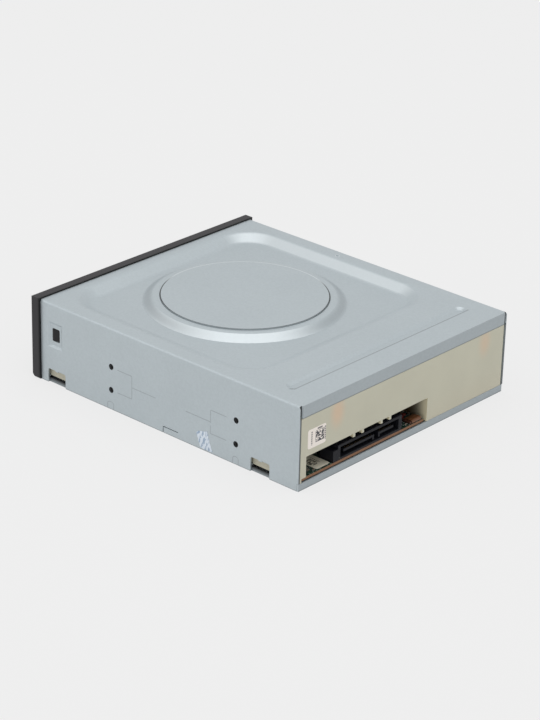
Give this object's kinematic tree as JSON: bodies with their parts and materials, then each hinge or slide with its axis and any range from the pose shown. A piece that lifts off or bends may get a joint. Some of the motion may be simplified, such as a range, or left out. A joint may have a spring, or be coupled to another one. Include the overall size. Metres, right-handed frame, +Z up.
{
  "type": "optical disc drive",
  "caption": "Half-height optical disc drive: folded steel case, thin bezel with a tray door, sliding disc tray, tilting disc deck, and a serial power and data plug at the rear.",
  "frame": {"origin": "centre of the bounding box's bottom face, level with the underside of the case", "axes": "+X to the right seen from the bezel, +Y from the bezel towards the connector, +Z up"},
  "size_m": [0.1484, 0.17, 0.042],
  "materials": {
    "galvanised_steel": "matt, fine spangle",
    "zinc_screw": "plated",
    "black_plastic": "fine texture",
    "clear_plastic": "polished",
    "cream_plastic": "moulded, slightly translucent",
    "dark_plastic": "moulded",
    "white_plastic": "moulded gear plastic",
    "rubber": "matt",
    "board": "solder mask",
    "polished_rod": "ground",
    "cast_metal": "die cast",
    "copper": "plated",
    "lens": "coated"
  },
  "bodies": {
    "case": {"top_cover": "galvanised_steel", "bottom_cover": "galvanised_steel", "cover_screws": "zinc_screw", "front_bezel": "black_plastic", "light_pipe": "clear_plastic", "loader_frame": "cream_plastic", "loading_motor": "galvanised_steel", "drive_belt": "rubber", "clamp_bracket": "galvanised_steel", "bracket_screws": "zinc_screw", "main_board": "board", "board_screws": "zinc_screw", "controller_chip": "dark_plastic", "driver_chip": "dark_plastic", "memory_chip": "dark_plastic", "flex_sockets": "white_plastic", "capacitors": "dark_plastic", "sata_connector": "dark_plastic", "sata_contacts": "copper", "front_board": "board", "eject_switch": "dark_plastic", "status_light": "clear_plastic", "front_ribbon": "white_plastic"},
    "tray": {"disc_tray": "dark_plastic", "tray_door": "black_plastic"},
    "eject": {"eject_button": "black_plastic"},
    "drive_wheel": {"drive_gear": "white_plastic"},
    "pulley_wheel": {"pulley_gear": "white_plastic"},
    "motor_wheel": {"motor_pulley": "white_plastic"},
    "cam": {"lift_cam": "white_plastic"},
    "deck": {"lift_frame": "dark_plastic", "deck_plate": "galvanised_steel", "rubber_dampers": "rubber", "damper_screws": "zinc_screw", "spindle_base": "galvanised_steel", "guide_rods": "polished_rod", "rod_holders": "dark_plastic", "sled_motor": "galvanised_steel"},
    "spindle": {"turntable": "dark_plastic", "turntable_pad": "rubber"},
    "pickup": {"pickup_body": "cast_metal", "pickup_cover": "galvanised_steel", "sled_nut": "white_plastic"},
    "lens": {"lens_carrier": "dark_plastic", "objective_lens": "lens"},
    "lead": {"lead_screw": "polished_rod"},
    "clamp": {"disc_clamp": "white_plastic", "clamp_yoke": "galvanised_steel"}
  },
  "joints": [
    {"name": "tray_slide", "type": "slide", "parent": "case", "child": "tray", "axis": [0, -1, 0], "range_m": [0, 0.128]},
    {"name": "drive_gear_turn", "type": "hinge", "parent": "case", "child": "drive_wheel", "pos_m": [-0.041, -0.0599, 0.016], "axis": [0, 0, 1], "range_deg": [-1, 918]},
    {"name": "pulley_gear_turn", "type": "hinge", "parent": "case", "child": "pulley_wheel", "pos_m": [-0.0234, -0.0599, 0.016], "axis": [0, 0, 1], "range_deg": [-1966, 1]},
    {"name": "motor_pulley_turn", "type": "hinge", "parent": "case", "child": "motor_wheel", "pos_m": [0.008, -0.0599, 0.014], "axis": [0, 0, 1], "range_deg": [-7017, 1]},
    {"name": "eject_press", "type": "slide", "parent": "case", "child": "eject", "axis": [0, 1, 0], "range_m": [0, 0.0008], "stiffness_N_per_m": 400, "springref_m": -0.001},
    {"name": "deck_tilt", "type": "hinge", "parent": "case", "child": "deck", "pos_m": [0, 0.0636, 0.0135], "axis": [1, 0, 0], "range_deg": [0, 4.6]},
    {"name": "cam_slide", "type": "slide", "parent": "case", "child": "cam", "axis": [1, 0, 0], "range_m": [-0.0001, 0.0201]},
    {"name": "spindle_spin", "type": "hinge", "parent": "deck", "child": "spindle", "pos_m": [0, -0.0157, 0.02], "axis": [0, 0, 1], "continuous": true},
    {"name": "pickup_slide", "type": "slide", "parent": "deck", "child": "pickup", "axis": [0, 1, 0], "range_m": [0, 0.034]},
    {"name": "lead_screw_turn", "type": "hinge", "parent": "deck", "child": "lead", "pos_m": [0.031, 0.0206, 0.0123], "axis": [0, 1, 0], "range_deg": [-1, 4082]},
    {"name": "lens_focus", "type": "slide", "parent": "pickup", "child": "lens", "axis": [0, 0, 1], "range_m": [-0.0006, 0.0008], "stiffness_N_per_m": 30},
    {"name": "clamp_spin", "type": "hinge", "parent": "case", "child": "clamp", "pos_m": [0, -0.0157, 0.036], "axis": [0, 0, 1], "continuous": true}
  ],
  "couplings": [
    {"joint": "drive_gear_turn", "follows": "tray_slide", "rad_per_m": 125},
    {"joint": "pulley_gear_turn", "follows": "tray_slide", "rad_per_m": -267.86},
    {"joint": "motor_pulley_turn", "follows": "tray_slide", "rad_per_m": -956.63},
    {"joint": "cam_slide", "follows": "deck_tilt", "m_per_rad": 0.24911},
    {"joint": "lead_screw_turn", "follows": "pickup_slide", "rad_per_m": 2094.4}
  ]
}
